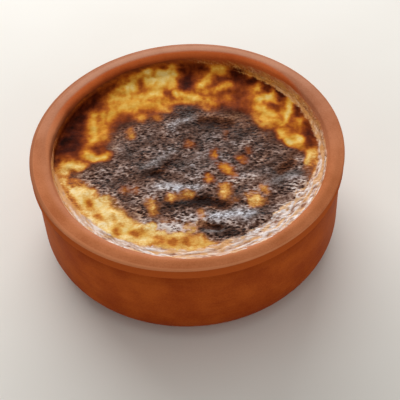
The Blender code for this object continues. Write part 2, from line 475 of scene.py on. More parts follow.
class ClayPaint(Paint):
    def __init__(self):
        super().__init__("terracotta", {"Roughness": 0.75, "Specular IOR Level": 0.03})
        self.height = self.axis("Z")
        self.across = self.axis("X") - bowl["innerShift"]
        self.along = self.axis("Y")
        self.radius = (self.across * self.across + self.along * self.along).math("SQRT")
        self.far = (self.along - 0.35 * self.across).step(0.0, 36.0)
        self.mottle = self.grain(12.0, 4.0)
        self.streak = self.grain(3.0, 3.0, (6.0, 6.0, 0.45))
        self.speck = self.grain(0.6, 2.0)
        self.shade = (0.5 + 0.7 * self.mottle + 0.14 * self.streak + 0.35 * self.speck).step(0.0, 1.0)
        # the height that a point had before the rim wore down
        self.front = (self.along / self.radius).step(*bowl["frontTurn"])
        wearAndEdgeHighlight = bowl["wornDrop"] * self.front * self.radius.step(*bowl["wornRadius"])
        self.unworn = self.height + wearAndEdgeHighlight + 0.05 * self.speck

    def tones(self, dark, pale):
        return self.blend(self.shade, dark, pale)

    def body(self):
        height, across, along, mottle = self.height, self.across, self.along, self.mottle
        layers = [
            ((height + 4.0 * mottle).step(26.0, 4.0), self.tones((146, 54, 16), (177, 81, 26))),
            (0.55 * along.step(5.0, 60.0), self.tones((152, 84, 50), (176, 104, 66))),
            # painted light: the body is painted paler at its left and right sides, where light wraps round
            # it
            (0.22 * across.math("ABSOLUTE").step(44.0, 62.0), (206, 140, 104)),
            # painted shade on the wall just below the collar, and a painted highlight on the collar
            (0.25 * (height - 1.2 * mottle).step(29.0, 38.5), (128, 46, 8)),
            ((height + 0.1 * mottle).step(collarFoot - 0.2, collarFoot + 0.5), (190, 90, 36)),
        ]
        return self.layered(self.tones((162, 66, 22), (196, 94, 34)), layers)

    def rim(self):
        along, across, radius = self.along, self.across, self.radius
        turn = along / radius
        # painted highlight line along the outer edge of the rim top
        wearAndEdgeHighlight = radius.step(60.9, 61.3) * self.unworn.step(45.0, 45.4)
        # painted highlight band across the middle of the rim at the back
        backHighlight = turn.step(0.1, 0.9) * radius.step(57.2, 58.4) * radius.step(60.8, 59.8)
        milky = radius.step(58.6, 56.0) * along.step(5.0, -25.0) * across.step(45.0, 10.0)
        layers = [
            # painted sheen: the rim is painted paler towards the back
            ((along + 6.0 * self.mottle).step(-30.0, 62.0), self.tones((173, 112, 82), (198, 138, 110))),
            # painted light: the worn slope in front and at the sides is painted paler
            (0.5 * self.front * radius.step(58.0, 61.0), self.tones((196, 110, 66), (220, 136, 90))),
            # a painted highlight along the worn outer edge, a painted highlight band at the back, and
            # painted shade on the outer edge at the sides and back
            (0.5 * wearAndEdgeHighlight, (226, 148, 102)),
            (0.33 * backHighlight, (222, 166, 136)),
            (0.5 * turn.step(-0.75, -0.25) * radius.step(60.9, 61.6), (118, 58, 34)),
            # dried milk pinks the rim beside the ring in front
            (0.2 * milky, (206, 154, 132)),
        ]
        return self.layered(self.tones((172, 97, 54), (198, 122, 78)), layers)

    def wall(self):
        # the inner wall is stained brown towards the skin, and scorched at the back
        across, along, streak = self.across, self.along, self.streak
        litSides = across.math("ABSOLUTE").step(24.0, 48.0) * along.step(38.0, 8.0)
        left = (along - 0.35 * across - 0.6 * across.math("MAXIMUM", across, 0.0)).step(0.0, 36.0)
        stain = (self.height + 0.8 * self.mottle + 0.4 * streak).step(45.2, 42.2)
        scorch = (self.height + 0.9 * self.mottle + 0.5 * streak).step(45.4, 41.6)
        layers = [
            # painted light: the inner wall is painted paler at the sides, where more light falls
            (litSides, self.tones((194, 116, 74), (210, 134, 92))),
            (0.8 * stain * (0.3 + 0.7 * left), (126, 52, 20)),
            (0.75 * scorch * self.far * across.step(26.0, -20.0), (72, 30, 18)),
        ]
        return self.layered(self.tones((190, 86, 36), (208, 106, 52)), layers)


def clayPaint():
    paint = ClayPaint()
    top = paint.unworn.step(44.95, 45.25)
    within = paint.radius.step(60.0, 59.5) * paint.height.step(39.4, 40.2)
    layers = [
        (top.math("MAXIMUM", top, within), paint.rim()),
        # painted shade: at the back the wall's darker colour reaches up over the inner lip
        ((paint.radius - 3.3 * paint.far + 0.3 * paint.mottle).step(54.8, 53.4), paint.wall()),
        (0.35 * paint.speck.step(0.35, 0.7), (96, 44, 22)),
    ]
    colour = paint.layered(paint.body(), layers)
    relief = paint.bump(paint.grain(0.7, 3.0), 0.05)
    relief = paint.bump(paint.streak, 0.04, relief)
    return paint.finish(colour=colour, roughness=0.66 + 0.10 * paint.mottle, normal=relief)


# The pudding's skin.
skin = {
    "level": 40.3,
    "meniscusRise": 0.5,
    "meniscusWidth": 2.0,
    "swellHeight": 0.25,
    "swellSpacing": 16.0,
    "charLift": 0.3,
    "wrinkleHeight": 0.35,
    "wrinkleSpacing": 4.5,
    "creaseHeight": 0.07,  # creases of the charred crust, and the finer net between them
    "netHeight": 0.09,
    "grainHeight": 0.07,  # of the skin that isn't charred
    "ringHeight": 0.13,  # broken waves of the milk along the wall
    "intoClay": 0.25,  # the skin's edge reaches this far into the clay
    "rings": 165,
}
skinEdge = innerWallRadius(skin["level"] + skin["meniscusRise"])

# Ridges and furrows of the charred skin: x and y of both ends, height, half width.
folds = [
    (-6, 16.5, 4, 20.5, 0.45, 2.4), (-17, -6, -13, -5, 0.4, 2.2), (-12, -4, -5, 1.5, 0.45, 2.2),
    (-13, -17, 6, -19, 0.4, 2.6), (9, -34.5, 26, -35, 0.5, 2.6), (34, -18, 44, -16, 0.4, 2.4),
    (19, -14.5, 31, -14, 0.25, 2.5), (-16, -37, -1, -38.5, 0.3, 2), (4.5, -41, 11, -41.6, 0.4, 1.3),
    (6, 20, 17.5, 17, -0.5, 2.6), (-13, -8.5, -6.5, -1, -0.45, 2.2), (0, -22, 13, -27, -0.45, 2.6),
    (3.5, -36, 10, -38.3, -0.55, 1.8), (36, -12, 42, -6, -0.28, 2.4),
]
charOvals = [
    (-8, 6, 32, 20), (24, 4, 22, 28), (14, -24, 24, 18), (-14, -16, 20, 14), (-36, 0, 12, 7),
]

# Strokes of the skin's colour: x and y of both ends, half width, strength.
# Cream and amber patches, from 1 for cream to 0.35 for red-brown.
creamStrokes = [
    (-37.2, 27, -37, 13, 2, 0.78), (-33, 27, -32.8, 14, 2.2, 0.62), (-38.5, 9.5, -40.5, 6.5, 1.5, 0.75),
    (-40, 4.6, -37, 2.4, 1.4, 0.92), (-37, 2.2, -33, 1.9, 1.6, 0.97), (-33, 2.4, -31.4, 4, 1.2, 0.7),
    (-50.3, 3.5, -48.7, 0.5, 1.2, 0.74), (-48.5, -0.8, -42, -1.8, 2, 0.9),
    (-49.4, -3.2, -47.6, -4.2, 1.2, 0.62), (-29.5, 36, -23, 36, 2.8, 0.8), (-24, 46, -23, 40, 2.6, 0.8),
    (-28, 31.5, -21, 31, 3.2, 0.8), (-29, 38.5, -23, 42, 3, 0.8), (-24, 44, -20, 42, 3, 0.82),
    (-21, 48, -20, 44, 2.4, 0.78), (-13, 45, -9, 44, 3.4, 0.92), (-12, 38, -9.5, 38, 2.8, 0.93),
    (-19, 36, -13, 36, 3, 0.74), (-14.5, 53, -13.5, 47, 2.2, 0.9), (-8, 50, -4, 49, 3.6, 0.92),
    (-4.5, 55, -4, 42, 2.4, 0.9), (-18, 32, -8, 31.5, 3.4, 0.66), (-4, 32.4, 4, 31.4, 1.5, 0.6),
    (-24, 28.8, -20, 29, 1.8, 0.5), (-9, 28.5, -6.5, 27, 2, 0.62), (-29.5, 28, -31, 25, 2, 0.7),
    (-19, 49, -16, 50, 2.2, 0.66), (-12, 50, -10, 47, 3.2, 0.8), (-11, 43, -6.5, 47, 4, 0.9),
    (-2.5, 37, 5, 33.5, 2, 0.93), (5, 33.5, 9, 31.8, 2, 0.66), (9, 33, 13, 33, 2, 0.38),
    (8, 30, 12, 30, 1.6, 0.45), (9, 27.5, 9.5, 26.5, 1.4, 0.45), (7.4, 40.6, 9.6, 43.2, 1.8, 0.92),
    (10.6, 45.5, 11.4, 47, 1.5, 0.6), (7, 38, 9.5, 37, 1.6, 0.55), (14.8, 38.2, 19.5, 40.6, 1.2, 0.72),
    (13.5, 50.8, 19, 50, 2.2, 0.8), (16.5, 48, 19.5, 48, 1.5, 0.66), (12.5, 37.5, 13.5, 36, 1.4, 0.5),
    (18.3, 33.4, 18.4, 32.4, 1.2, 0.5), (31.5, 30.2, 35.5, 31.2, 2, 0.93),
    (36, 32.6, 37.6, 33.6, 1.3, 0.85), (35, 29.6, 38.6, 27.8, 1.5, 0.72), (31, 36.5, 31.4, 38.8, 1.6, 0.72),
    (28.6, 36, 28.6, 31, 1.4, 0.42), (30.8, 25, 32.4, 24, 2.2, 0.8), (33, 22, 36.4, 20.4, 2.4, 0.8),
    (31.2, 19.5, 34, 17, 2, 0.78), (31, 14.8, 34, 14.2, 1.3, 0.72), (37, 17, 39, 15, 1.6, 0.6),
    (28.4, 21, 29.4, 16, 1.2, 0.55), (44.6, 31.5, 43.4, 25, 1.5, 0.78), (43.2, 25, 41.4, 18.4, 1.1, 0.93),
    (41.2, 18, 40.6, 15.8, 0.9, 0.8), (46, 34, 46, 26, 1.6, 0.6), (40, 23, 40.4, 20, 1.2, 0.62),
    (46, 16, 47.4, 11.5, 1.4, 0.66), (43, 14, 44.5, 12, 1.2, 0.42), (38.2, 10.4, 38.8, 7.5, 1.4, 0.8),
    (40, 5, 42, 3.6, 1.4, 0.95), (42, 4.2, 45.6, 4.6, 1.9, 1), (43.4, 5.6, 45, 5.6, 1.6, 0.9),
    (43, 1.6, 45.4, 1, 1.3, 0.7), (44.6, 7, 45.6, 6, 1, 0.9), (48.6, -2.6, 46.9, -7.6, 1.2, 0.88),
    (50.4, -1, 49.6, -7, 0.8, 0.55), (28.6, 47, 28.8, 45, 1.3, 0.66), (36.5, 41.4, 37.6, 39, 1.1, 0.7),
    # the broad pale crescent in front on the left
    (-44, -15, -39, -15.5, 2.4, 0.97), (-42, -20, -36, -21.5, 3.4, 0.95),
    (-37.5, -26.5, -32, -28, 3.4, 0.86), (-33.5, -32, -27.5, -33, 3.2, 0.84),
    (-30, -36.5, -25, -36.5, 2.2, 0.85), (-26, -39.5, -22, -40.5, 2, 0.75),
    (-19.5, -41.5, -16, -42, 2.2, 0.95), (-14, -43.2, -6, -43.6, 2, 0.34), (1, -44.6, 6, -45.4, 2.2, 0.64),
    (-42, -27, -38.5, -30.5, 2.6, 0.95), (-48.5, -8.5, -46, -14, 0.9, 0.7),
    (-41.5, -11, -39.5, -11.5, 1.3, 0.6), (-26, -35.2, -15, -36.4, 1.8, 0.96),
    (-8.6, -41, -3.6, -40.6, 1.2, 0.84), (-14, -46, 2, -48, 1.3, 0.6), (-3, -39.5, 0, -39.5, 1.2, 0.55),
    (-45.4, -15.6, -44.4, -17, 1.2, 1), (-35.5, -22, -33, -23, 1.6, 1), (-34.5, -33, -32.5, -34, 1.3, 1),
    (-18, -35, -14, -35.4, 1.2, 0.9), (3, -43, 6, -43.5, 1.4, 0.5), (-17, -38.4, -11.4, -39.2, 1.2, 0.88),
    (-34.4, -19.4, -32, -20.6, 1.9, 0.92), (-26.4, -33.8, -24, -34.6, 1.4, 0.85),
    (-33, -25.5, -28.4, -28, 1.6, 0.9), (-27, -31, -24, -32, 1.6, 0.8),
]
# Small patches that show through the char.
spots = [
    (-17.6, 24, -17.4, 23.2, 1.4, 0.7), (-22.2, 16.5, -21.8, 13, 1.2, 0.55),
    (-11.5, 23, -10.2, 22.4, 1.6, 0.5), (1.4, 7.4, 1.4, 6.8, 1.1, 0.6), (11, 1.8, 10.8, -0.8, 1.1, 0.64),
    (24, 2.5, 24.5, 0.6, 1, 0.48), (21.4, -3, 21.6, -4.8, 1.3, 0.6), (14, -6.6, 15.6, -8.6, 1.8, 0.7),
    (16.4, -9.6, 18, -12.4, 1.3, 0.6), (8.2, -12, 8.4, -13.2, 1.5, 0.64),
    (13.8, -17.2, 13.6, -19.4, 1.8, 0.7), (13.4, -20, 13.8, -22.4, 1.6, 0.58),
    (24.6, -23.4, 25.2, -25.8, 1.6, 0.86), (24, -28, 28, -26.6, 1.1, 0.55),
    (-7.2, -20.4, -7.2, -22.4, 1.3, 0.6), (-5.4, -21, -2, -21, 1.3, 0.5), (-0.8, -20, 0.6, -20.6, 0.8, 0.6),
    (-14.5, -23.4, -14.6, -25.6, 1.9, 0.58), (-14.8, -26.4, -14.4, -29.6, 2, 0.56),
    (3.6, -29.8, 4.4, -32.2, 1.2, 0.56), (28.6, -19.4, 29.6, -22, 1.2, 0.56),
    (-25.4, -15.6, -21.4, -16.4, 1.8, 0.5), (16.5, 12, 16.5, 9, 1.2, 0.34), (16, -26, 17, -24.5, 1.2, 0.4),
    (-29.8, -20.2, -28.6, -22.4, 1.5, 0.5), (-1.5, -37, 1, -38.4, 1.2, 0.66),
    (-10, -33, -6, -34, 1.4, 0.36),
]
# Broad toasted zones round the patches.
toastStrokes = [
    (-27.5, 33, -8, 35, 4, 0.62), (-26, 42, -4, 48, 5, 0.62), (-33, 27, -31.5, 14, 2.6, 0.45),
    (-36, 28, -36, 11, 1.6, 0.46), (-5, 36, 9, 32, 2.6, 0.38), (7, 46, 9, 39, 2.6, 0.34),
    (14, 50, 20, 50, 2.2, 0.42), (12, 38, 21, 40, 1.6, 0.26), (13, 34, 18, 32, 1.8, 0.22),
    (29.5, 37, 30.5, 18, 2.4, 0.36), (32.4, 28, 33.5, 22, 2.8, 0.55), (36, 33, 39, 18, 3.2, 0.4),
    (45, 28, 46, 8, 2.4, 0.4), (40, 10, 46, 4, 2, 0.5), (-12, 28, -6, 26, 2, 0.34),
    (8, 29, 10, 26, 1.8, 0.42), (-24, 28, -18, 27, 1.6, 0.3), (28, 47, 38, 39, 1.8, 0.4),
    (50, 2, 48, -14, 1.4, 0.5), (-41, -10, -38, -12, 1.6, 0.42), (-44, -18, -25, -38, 6.4, 0.78),
    (-22, -40, -16, -42.5, 2.6, 0.5), (1, -44, 4, -45.5, 2.4, 0.45), (-50, 4, -42, -3, 1.7, 0.34),
    (-41, 8, -31, 3, 1.8, 0.42), (-9, -20.5, 2, -20.5, 1.2, 0.3), (14, -7, 18, -12, 1.6, 0.3),
    (22, -24, 29, -27, 2, 0.34),
]
# Marks browner than the patch that they lie on.
brownStrokes = [
    (-17.5, 45.5, -17.3, 40.5, 1, 0.36), (-11.8, 53.5, -11.6, 49, 0.6, 0.3),
    (-13.6, 34.4, -12.8, 33.4, 0.9, 0.16), (-28.4, 33.8, -27.6, 32.6, 1.2, 0.2),
    (-7, 38, -5.6, 37.4, 1.3, 0.6), (-9.5, 54.6, -7, 53.5, 1.2, 0.6), (-5, 35, -4, 33.5, 1, 0.25),
    (-24.5, 42, -24, 40, 0.8, 0.16), (37, 26, 38.6, 23.4, 1.2, 0.45), (34.5, 25.5, 35.5, 25, 0.8, 0.2),
    (34.4, 37, 35.6, 34.6, 1.1, 0.62), (39.4, 35.4, 40.8, 31, 1, 0.95), (40.8, 31, 39.4, 28, 0.8, 0.6),
    (-38.6, 8.6, -35, 6.6, 1.1, 0.55), (-39.2, -21.2, -38.6, -22, 1.3, 0.62),
    (-35.8, -28.2, -35.2, -29, 1.1, 0.56), (-28.6, -36.4, -27.8, -37.6, 1.1, 0.5),
    (-22.2, -37.8, -21.2, -39.8, 1.1, 0.42), (-19, -37, -18, -37.4, 1, 0.25),
    (-14, -42.4, -6.5, -43.4, 1.8, 0.18), (-29.2, -31, -28.6, -31.6, 0.8, 0.35),
    (-26.8, -33.2, -26.2, -34, 0.8, 0.35), (-42.2, -10.4, -40, -10.6, 0.9, 0.55),
    (-37.4, -12, -36.8, -13, 0.9, 0.5), (-36.4, -17, -35, -18, 1, 0.4), (-33.5, -30.4, -33, -31, 0.7, 0.3),
    (-48.2, -12.5, -42.6, -24, 0.7, 0.55), (-42.5, -24, -40, -28, 0.7, 0.4),
    (49.3, -7, 47.4, -15, 0.9, 0.6), (50.3, 2, 49.2, 8.5, 1, 0.5), (49.2, 9, 48.6, 15, 0.8, 0.4),
    (46.6, 24.5, 46, 19.5, 1, 0.7), (-45, -5.6, -39, -8, 1.8, 0.9), (-46.5, -10, -42.5, -11.4, 1.3, 0.5),
    (-13.4, -41.4, -12.6, -42.6, 0.9, 0.15), (-2.4, -43, -1.4, -46, 1, 0.25),
    (25, -22.6, 23.6, -23.6, 0.5, 0.4), (33, 43.5, 36.2, 37.3, 1, 0.8), (47.6, 12, 48.6, 3, 0.9, 0.6),
]
# Near-black strokes along the far wall.
darkStrokes = [
    (-46.5, 9, -44.5, 20, 2.4, 0.85), (-52, 5, -50, 12, 3.2, 0.9), (-50, 12, -48, 17, 3.2, 1),
    (-48, 17, -45, 25, 3.2, 1), (-45, 25, -43, 31, 3.2, 0.95), (-43, 31, -37, 37, 3.4, 0.7),
    (-38, 38, -34, 43, 3.4, 0.8), (-34, 43, -29, 46, 3, 0.9), (-28, 46, -24, 49, 2.4, 0.7),
    (-45, 10, -43, 8, 2.6, 0.5), (26, 49, 27, 46, 2, 0.7), (1.2, 56, 1.8, 41, 2.6, 0.9),
    (5, 51.5, 10, 51.5, 2, 0.6), (22, 48.5, 25.4, 45.4, 2.4, 1), (25.5, 43.4, 30.4, 42, 1.8, 0.9),
    (33, 43, 36.4, 37, 1.2, 0.8), (39.4, 35.4, 40.8, 31, 0.8, 0.7), (17, 44, 23, 43, 1.8, 0.45),
    (46.2, 24, 46.6, 20, 0.8, 0.6), (48.5, 13, 49, 9, 0.8, 0.6), (49, 9, 49.6, 2, 0.8, 0.75),
]
# Parts in front that are as amber as the back.
amberStrokes = [
    (-42, -17, -24, -35, 2.6, 0.5), (-14, -43, 8, -46, 3.4, 0.68), (-24, -37, -18, -39, 2.4, 0.78),
    (-39.6, -20.6, -38.4, -22.6, 1.6, 0.8), (-29, -36, -28, -38, 1.8, 0.8), (-36, -28, -35, -29, 1.2, 0.6),
]
# Outline of the charred crust: degrees from the right round (4, -6), and how far it reaches.
crustEdge = [
    (10.5, 41.5), (19, 36.4), (33, 35), (49, 35.2), (67, 33.6), (76, 33.7), (90, 37), (104, 36.4),
    (117.5, 34.6), (131, 38), (141, 41), (154.4, 41), (161.6, 36.4), (173, 43.5), (181, 48), (187, 44.5),
    (192, 41.5), (201, 38.6), (211, 37), (217, 36.2), (227, 35.8), (240, 36.2), (249, 35.4), (262, 34.4),
    (270, 36.6), (276, 40), (290, 42.5), (306, 43.5), (326, 43.5), (345, 43.6), (358.7, 43.4),
]
# Paler and darker parts of the crust, partly its own colour and partly painted sheen and painted shade over
# its folds: x and y of both ends, half width, how much paler.
charTones = [
    (2, 17, 15, 13, 4.5, -0.13), (-17, -1, -3, -3, 4.5, -0.1), (20, -9, 33, -10, 3.5, -0.08),
    (-20, -6, -12, -10, 3.6, -0.16), (-8, -23.6, 6, -24.6, 2.8, -0.26), (4, -37, 16, -42, 3.4, -0.2),
    (39, -13, 44, -12, 3, -0.18), (-14, 12, 6, 9, 5, -0.04), (34, -17, 38, -17, 2.5, -0.08),
    (5, -18, 6, -20, 2.6, -0.12), (26, -28, 29, -32, 3, -0.12), (1, 25, 3, 26, 3, -0.15),
    (-12, -17, -6, -17.5, 2.4, 0.12), (-17, -20.5, -13, -19.5, 2, 0.12), (15, -15.5, 24, -16, 2.2, 0.1),
    (-17, -32.5, 3, -32.5, 2, 0.1), (-19, -36, -11, -36.4, 2.2, 0.32), (-9, -36.8, 3, -36.6, 1.8, 0.26),
    (-15, -39.4, -8, -39.8, 2, 0.3), (3, -31.4, 6, -36, 2.4, 0.17), (1, -36, 4, -36, 1.8, 0.12),
    (44, -15, 45, -20, 2.5, 0.12), (20, 3, 24, 5, 2.5, 0.08), (20, 9, 25, 11, 2.6, -0.1),
    (-26, -13, -20, -14, 2, 0.06), (0, -8, 8, -8, 3, -0.07), (16, 0, 20, -0.5, 2.2, -0.1),
    (34, -1, 40, -3, 2.5, 0.08), (44, 0, 44, 0, 2, 0.1), (16, -20, 20, -20, 2.4, -0.16),
    (12, -24, 12, -24, 1.6, -0.12), (36, -19, 36, -24, 2.6, -0.12), (31, -24, 32, -32, 2.5, -0.06),
    (23, -40, 25, -40, 2.2, -0.2), (8, -32, 9, -33, 1.8, -0.1), (-35, -12, -31, -12, 2.2, -0.13),
    (-28, 0, -16, 6, 4, -0.05), (44, -6, 44, -9, 2.2, 0.14), (11, -32.8, 20, -32.8, 1.9, 0.09),
    (-5, 24, 2, 23.4, 2.5, -0.1), (44, -14, 48, -16, 2.2, -0.18), (45, -24, 45, -24.5, 1.6, -0.18),
    (8, 22.5, 14, 21.5, 2.4, 0.12), (17, 20, 24, 23, 2.6, 0.12), (33, 10, 36, 9, 2.4, 0.08),
    (-34, 6, -28, 7, 2.4, 0.22), (24, -15, 28, -16, 2.4, 0.08), (39, -16, 41, -16, 2, 0.16),
    (33, -28, 37, -28, 2.4, 0.18), (32, -24, 32, -24, 1.6, -0.16), (28, -24, 28, -24, 1.6, 0.12),
    (-16, -37, -9, -39, 2.2, 0.1), (-16, -28, -7, -28, 2.2, -0.16), (-16, -14, -15, -18, 2.2, 0.1),
    (40, -20, 41, -24, 1.8, 0.2), (8, 16.5, 9, 16.5, 2.2, -0.08), (28, 4, 28, 4, 2, -0.16),
    (12, 4, 12, 4, 2, -0.14), (0, 7, 6, 8, 2.4, -0.07), (4, 4, 4, 4, 1.6, 0.1),
    (-4, -23, -3, -24, 2.2, -0.16), (-5, -4, 1, -4, 2.5, -0.08), (4, -4, 6, -5, 2.2, 0.1),
    (-21, -4, -19, -7, 2, 0.09), (20, -4, 24, -4, 2.5, -0.12), (12, -12, 12, -12, 2, -0.1),
    (4, -34, 4, -35, 1.6, 0.12),
]
# Greasy bands of the crust that shine, with a glossier coat and a painted sheen in their colour: x and y of
# both ends, half width, strength.
sheenStrokes = [
    (-5, 18, 3, 22, 2.4, 0.6), (-17, -4.6, -13, -3.4, 1.8, 0.6), (-11.6, -1.8, -5.8, 3.2, 1.9, 0.6),
    (-1, -5, 9, -0.5, 3.8, 0.45), (-11, -15.4, 2.5, -17, 2.1, 0.75), (9.5, -32.6, 23, -32.5, 2.3, 1),
    (34, -16, 43, -13.5, 2.6, 0.75), (20, -12.5, 30, -12, 2.6, 0.35), (2, -30.9, 7, -30.8, 1.5, 0.4),
    (-17, -34.8, -1, -36.7, 1.8, 0.3), (5, -39.8, 10.5, -40.3, 0.7, 0.8), (-33, 5.3, -27, 7, 2.2, 0.4),
    (10, 10, 28, 6, 5, 0.2), (-26, 2, -16, 10, 5, 0.15), (14, -2, 22, -10, 3, 0.25),
]
# The milky ring along the wall: degrees round the bowl from the right, and its width there.
milkRing = [
    (0, 2), (10, 1.9), (20, 1.7), (30, 1.5), (42, 1.2), (55, 0.9), (68, 0.4), (82, 0.1), (95, 0), (180, 0),
    (185, 0.7), (190, 1.1), (200, 1.9), (210, 3), (220, 3.4), (230, 3.6), (240, 4), (250, 4.4), (270, 4.6),
    (274, 4.8), (278, 6.2), (290, 6.8), (310, 6.8), (320, 7.3), (330, 6.6), (338, 5), (345, 3.4),
    (352, 2.4),
]
# The dried milk round the wall: degrees, how pale it is from 0 for brown to 1 for white,
# how buttery, and how strong its waves are.
milkKinds = [
    (0, 0.45, 0.2, 0.6), (15, 0.3, 0.25, 0.5), (30, 0.16, 0.15, 0.4), (50, 0.06, 0.1, 0.3),
    (65, 0, 0.1, 0.25), (80, 0, 0, 0.25), (150, 0, 0, 0.25), (172, 0.2, 0.2, 0.3), (185, 0.3, 0.35, 0.3),
    (205, 0.5, 0.35, 0.4), (216, 0.75, 0.2, 0.6), (228, 0.9, 0, 0.9), (250, 0.95, 0, 0.9),
    (262, 0.76, 0.2, 0.9), (275, 0.68, 0.25, 0.9), (285, 0.72, 0.25, 0.9), (300, 1, -0.05, 1),
    (315, 1, 0.05, 1), (330, 0.9, 0.2, 1), (350, 0.7, 0.15, 0.8),
]
# Degrees, and how far its waves break up into specks.
milkSpeckle = [(0, 1), (60, 1), (190, 0.7), (210, 0.6), (270, 0.45), (300, 0.65), (330, 0.9)]


def latticeNoise(x, y, seed):
    rng = np.random.default_rng(seed)
    order = np.concatenate([rng.permutation(256)] * 2)
    turn = rng.random(256) * 2 * math.pi
    x0 = np.floor(x).astype(int)
    y0 = np.floor(y).astype(int)
    fx, fy = x - x0, y - y0
    u = fx ** 3 * (fx * (fx * 6 - 15) + 10)
    v = fy ** 3 * (fy * (fy * 6 - 15) + 10)

    def corner(i, j):
        a = turn[order[order[(x0 + i) & 255] + ((y0 + j) & 255)]]
        return np.cos(a) * (fx - i) + np.sin(a) * (fy - j)

    low = corner(0, 0) * (1 - u) + corner(1, 0) * u
    high = corner(0, 1) * (1 - u) + corner(1, 1) * u
    return (low * (1 - v) + high * v) * 1.5


def fractal(x, y, spacing, layers, seed):
    total = np.zeros_like(x)
    for k in range(layers):
        fine = 2 ** k
        total += latticeNoise(x / spacing * fine, y / spacing * fine, seed + k) / fine
    return total


def smooth(value, low=0.0, high=1.0):
    share = np.clip((value - low) / (high - low), 0, 1)
    return share * share * (3 - 2 * share)


def netNoise(x, y, seed):
    # 0 on the borders of irregular cells one unit wide, about 1 inside them
    rng = np.random.default_rng(seed)
    order = np.concatenate([rng.permutation(256)] * 2)
    shiftX, shiftY = rng.random(256), rng.random(256)
    x0, y0 = np.floor(x).astype(int), np.floor(y).astype(int)
    nearest = np.full(x.shape, 9.0)
    second = np.full(x.shape, 9.0)
    for i in (-1, 0, 1):
        for j in (-1, 0, 1):
            cell = order[order[(x0 + i) & 255] + ((y0 + j) & 255)]
            away = np.hypot(x0 + i + shiftX[cell] - x, y0 + j + shiftY[cell] - y)
            second = np.minimum(second, np.maximum(nearest, away))
            nearest = np.minimum(nearest, away)
    return second - nearest


def farFrom(x, y, x0, y0, x1, y1):
    run = max((x1 - x0) ** 2 + (y1 - y0) ** 2, 1e-9)
    share = np.clip(((x - x0) * (x1 - x0) + (y - y0) * (y1 - y0)) / run, 0, 1)
    return np.hypot(x - x0 - share * (x1 - x0), y - y0 - share * (y1 - y0))


def reach(x, y, strokes, grow, extra, power):
    # soft maximum of the strokes, each one fading as a bell from its middle line
    total = np.zeros_like(x)
    for x0, y0, x1, y1, half, level in strokes:
        away = farFrom(x, y, x0, y0, x1, y1) / (grow * half + extra)
        total += (level * np.exp(-away ** 2)) ** power
    return total ** (1 / power)


def degreesRound(x, y):  # from the right, anticlockwise
    return np.degrees(np.arctan2(y, x - bowl["innerShift"])) % 360


def atDegrees(degrees, table):
    # the table's other columns, read at these degrees round the bowl
    places, *columns = np.array(table, dtype=float).T
    return [np.interp(degrees, places, column, period=360) for column in columns]


def crustDepth(x, y):
    # how far inside the ragged edge of the charred crust
    edge = atDegrees(np.degrees(np.arctan2(y + 6, x - 4)), crustEdge)[0]
    return edge - np.hypot(x - 4, y + 6) + 1.6 * fractal(x, y, 6.0, 4, 41)


def crust(x, y):  # 1 on the charred crust in the middle
    return smooth(crustDepth(x, y), -4, 4)


def frontness(y):
    return smooth(4 - y, 0, 14)


def browning(x, y):
    # 0 where the skin is cream and 1 where it is charred
    wx = x + 0.5 * fractal(x, y, 4.0, 2, 11) + 0.2 * fractal(x, y, 1.6, 1, 15)
    wy = y + 0.5 * fractal(x, y, 4.0, 2, 31) + 0.3 * fractal(x, y, 1.6, 1, 35)
    cream = reach(wx, wy, creamStrokes, 0.95, 1.0, 5)
    toast = reach(wx, wy, toastStrokes, 1.3, 1.0, 4)
    ragged = 0.4 * fractal(x, y, 2.4, 2, 21)
    shown = reach(wx + ragged, wy - ragged, spots, 1.0, 1.7, 4)
    lift = np.clip((cream ** 4 + (0.8 * toast) ** 4 + shown ** 4) ** 0.25, 0, 1)
    base = 0.70 - 0.2 * frontness(y)
    level = (base + (1 - base) * crust(x, y)) * (1 - lift)
    dark = reach(wx, wy, darkStrokes, 1.1, 0.8, 4) * (0.8 + 0.5 * fractal(x, y, 5.0, 2, 65))
    dark = dark * (0.55 + 0.45 * smooth(skinEdge - np.hypot(x - bowl["innerShift"], y), -0.5, 2.0))
    brown = reach(wx, wy, brownStrokes, 1.0, 0.5, 4)
    level = level + (1 - level) * np.clip(np.maximum(0.9 * dark, 0.85 * brown), 0, 1)
    upper = smooth(y, 18, 28)
    streak = fractal(x / 1.8, y / 4.2, 1.0, 2, 51)
    mottle = fractal(x, y, 3.0, 2, 55)
    level = level + 0.07 * streak * upper + 0.10 * mottle * (1 - upper) + 0.06 * fractal(x, y, 8, 2, 61)
    fleck = smooth(fractal(x / 3.4, y / 4.6, 1.0, 2, 63), 0.0, 0.8) * (1 - smooth(level, 0.3, 0.6))
    return level + 0.12 * fleck


def nearness(x, y):
    # 1 in front, where the patches are paler and pinker than the amber ones at the back
    amber = reach(x, y, amberStrokes, 1.0, 1.0, 2)
    inside = crust(x, y)
    ends = 0.72 * smooth(-12 - y, 0, 12) + 0.35 * smooth(y - 5, 0, 8)
    return frontness(y) * (1 - amber) * (1 - inside) + ends * inside


def clayNoise(x, y, level, spacing):
    # the same noise as the solid's, so that the skin follows its waves
    flat = zip((x / spacing).tolist(), (y / spacing).tolist())
    return np.array([noise.noise((a, b, level / spacing)) for a, b in flat])


def charCover(x, y):
    cover = np.zeros_like(x)
    for cx, cy, rx, ry in charOvals:
        cover = np.maximum(cover, 1 - np.hypot((x - cx) / rx, (y - cy) / ry))
    return smooth(0.5 + 6 * (cover + 0.25 * clayNoise(x, y, 0.0, 7.0)))


def bellSum(x, y, strokes):
    total = np.zeros_like(x)
    for x0, y0, x1, y1, half, level in strokes:
        total += level * np.exp(-(farFrom(x, y, x0, y0, x1, y1) / half) ** 2)
    return total


def foldHeight(x, y):
    return bellSum(x, y, [(*ends, half, height) for *ends, height, half in folds])


